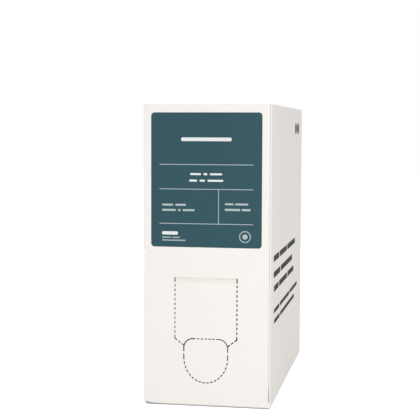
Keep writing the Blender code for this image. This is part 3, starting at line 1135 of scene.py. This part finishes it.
class REFILL_OT_side_print(bpy.types.Operator):
    """Build the plain dark bars and dots in place of the words and mark on the right side"""

    bl_idname = "refill.side_print"
    bl_label = "Side print"

    def execute(self, context):
        label = context.scene.refill_label
        ink = ink_material(
            "side_grey_ink", label.side_ink_colour, mottle=0.04, fibre=0.15, roughness=0.9, gloss=0.02)
        bars = []
        for height, left, bar, words in SIDE_LINES:
            start = CARTON_LOW.y + left
            for word in words:
                centre = (start + word / 2, CARTON_LOW.z + height)
                bars.append(bar_outline(centre, word, bar, SIDE_BAR_ROUNDING))
                start += word + SIDE_WORD_GAP
        dots = []
        for distance in SIDE_DOT_PLACES:
            centre = (CARTON_LOW.y + distance, CARTON_LOW.z + SIDE_DOT_HEIGHT)
            dots.append(circle(centre, SIDE_DOT_RADIUS))
        for name, outlines in (("side_bars", bars), ("side_dots", dots)):
            bm = bmesh.new()
            for outline in outlines:
                add_prism(
                    bm, outline, lambda y, z: (CARTON_HIGH.x, y, z), (label.print_height, 0.0, 0.0))
            keep(solid_from(name, bm, ink))
        return {"FINISHED"}


# Stage

def camera_matrix(stage):
    """Camera placed by its yaw, pitch and roll, looking along +Y when they are all zero."""
    yaw = Matrix.Rotation(-stage.camera_yaw, 4, "Z")
    pitch = Matrix.Rotation(math.pi / 2 - stage.camera_pitch, 4, "X")
    roll = Matrix.Rotation(stage.camera_roll, 4, "Z")
    return Matrix.Translation(Vector(stage.camera_place)) @ yaw @ pitch @ roll


def seen_directly(tree):
    """1 for rays that see a surface straight, in a mirror or through glass."""
    path = tree.nodes.new("ShaderNodeLightPath")
    direct = math_node(tree, "MAXIMUM", path.outputs["Is Camera Ray"], path.outputs["Is Glossy Ray"])
    return math_node(tree, "MAXIMUM", direct, path.outputs["Is Transmission Ray"])


def outside_footprint(tree, carton):
    """0 on the floor where the carton stands on it, so that the floor has no glow there, and 1 around it.
    """
    place = split(tree, position(tree))
    sides = (
        ("LESS_THAN", "X", CARTON_LOW.x + carton.left_foot_radius * FOOTPRINT_SHARE),
        ("GREATER_THAN", "X", CARTON_HIGH.x - carton.foot_radius * FOOTPRINT_SHARE),
        ("LESS_THAN", "Y", CARTON_LOW.y + carton.bottom_inset),
        ("GREATER_THAN", "Y", CARTON_HIGH.y - carton.bottom_inset))
    outside = 0.0
    for test, axis, limit in sides:
        outside = math_node(tree, "MAXIMUM", math_node(tree, test, place[axis], limit), outside)
    return outside


class REFILL_OT_stage(bpy.types.Operator):
    """Set up the white floor, the even light and the camera"""

    bl_idname = "refill.stage"
    bl_label = "Stage"

    def execute(self, context):
        stage = context.scene.refill_stage
        self.build_floor(stage, context.scene.refill_carton)
        self.build_world(context.scene, stage)
        self.build_lamps(stage)
        self.build_camera(context.scene, stage)
        context.scene.view_settings.view_transform = "Standard"
        return {"FINISHED"}

    def build_floor(self, stage, carton):
        bm = bmesh.new()
        bmesh.ops.create_grid(bm, x_segments=1, y_segments=1, size=stage.floor_size / 2)
        floor = link("floor", mesh_from("floor", bm))
        floor.location.z = CARTON_LOW.z - FLOOR_DROP
        material = bpy.data.materials.new("white_floor")
        material.use_nodes = True
        tree = material.node_tree
        tree.nodes.clear()
        shown = multiply(tree, seen_directly(tree), outside_footprint(tree, carton))
        glow = {"Color": WHITE, "Strength": multiply(tree, shown, stage.floor_glow)}
        both = tree.nodes.new("ShaderNodeAddShader")
        parts = (("ShaderNodeBsdfDiffuse", {"Color": FLOOR_COLOUR}, "BSDF"),
                 ("ShaderNodeEmission", glow, "Emission"))
        for socket, part in zip(both.inputs, parts):
            feed(tree, socket, new_node(tree, *part))
        output = tree.nodes.new("ShaderNodeOutputMaterial")
        feed(tree, output.inputs["Surface"], both.outputs[0])
        floor.data.materials.append(material)

    def build_world(self, scene, stage):
        world = bpy.data.worlds.new("even_white_room")
        world.use_nodes = True
        tree = world.node_tree
        background = tree.nodes["Background"]
        feed(tree, background.inputs["Color"], WHITE)
        shown = multiply(tree, seen_directly(tree), 1.0 - stage.ambient)
        feed(tree, background.inputs["Strength"], add(tree, shown, stage.ambient))
        scene.world = world

    def build_lamps(self, stage):
        """The lamp behind keeps off the front and right, and the one above lights the top alone."""
        softbox = (stage.softbox_width, stage.softbox_height)
        front = Vector((0.0, CARTON_LOW.y, CENTRE.z))
        back = Vector((0.0, CARTON_HIGH.y, CENTRE.z))
        self.build_lamp("front_softbox", stage.softbox_place, front, softbox, stage.softbox_power)
        self.build_lamp("back_softbox", stage.back_place, back, softbox, stage.back_power)
        top = (stage.top_width, stage.top_length)
        self.build_lamp("top_lamp", stage.top_place, CENTRE, top, stage.top_power)

    def build_lamp(self, name, place, target, size, power):
        light = bpy.data.lights.new(name, "AREA")
        light.shape = "RECTANGLE"
        light.size, light.size_y = size
        light.energy = power
        lamp = link(name, light)
        lamp.location = Vector(place)
        lamp.rotation_euler = (target - lamp.location).to_track_quat("-Z", "Y").to_euler()
        lamp.visible_camera = False

    def build_camera(self, scene, stage):
        data = bpy.data.cameras.new("camera")
        data.sensor_width = 36.0
        data.sensor_fit = "HORIZONTAL"
        data.lens = stage.camera_lens
        data.clip_start = 0.01
        camera = link("camera", data)
        camera.matrix_world = camera_matrix(stage)
        scene.camera = camera


class REFILL_PT_panel(bpy.types.Panel):
    """Sidebar panel that lists the pack's settings and steps"""

    bl_label = "Refill pack"
    bl_idname = "REFILL_PT_panel"
    bl_space_type = "VIEW_3D"
    bl_region_type = "UI"
    bl_category = "Refill pack"

    def draw(self, context):
        layout = self.layout
        for step in STEPS:
            layout.operator(step.bl_idname)
        for holder in HOLDERS:
            settings = getattr(context.scene, holder)
            for name in settings.bl_rna.properties.keys():
                if name not in {"rna_type", "name"}:
                    layout.prop(settings, name)


STEPS = (
    REFILL_OT_carton,
    REFILL_OT_label,
    REFILL_OT_label_print,
    REFILL_OT_side_print,
    REFILL_OT_stage,
)
HOLDERS = {
    "refill_carton": CartonSettings,
    "refill_door": DoorSettings,
    "refill_label": LabelSettings,
    "refill_stage": StageSettings,
}


def register():
    for holder, settings in HOLDERS.items():
        bpy.utils.register_class(settings)
        setattr(bpy.types.Scene, holder, PointerProperty(type=settings))
    for step in STEPS:
        bpy.utils.register_class(step)
    bpy.utils.register_class(REFILL_PT_panel)


def unregister():
    bpy.utils.unregister_class(REFILL_PT_panel)
    for step in reversed(STEPS):
        bpy.utils.unregister_class(step)
    for holder, settings in reversed(HOLDERS.items()):
        delattr(bpy.types.Scene, holder)
        bpy.utils.unregister_class(settings)


def main():
    register()
    bpy.ops.refill.carton()
    bpy.ops.refill.label()
    bpy.ops.refill.label_print()
    bpy.ops.refill.side_print()
    bpy.ops.refill.stage()


if __name__ == "__main__":
    main()
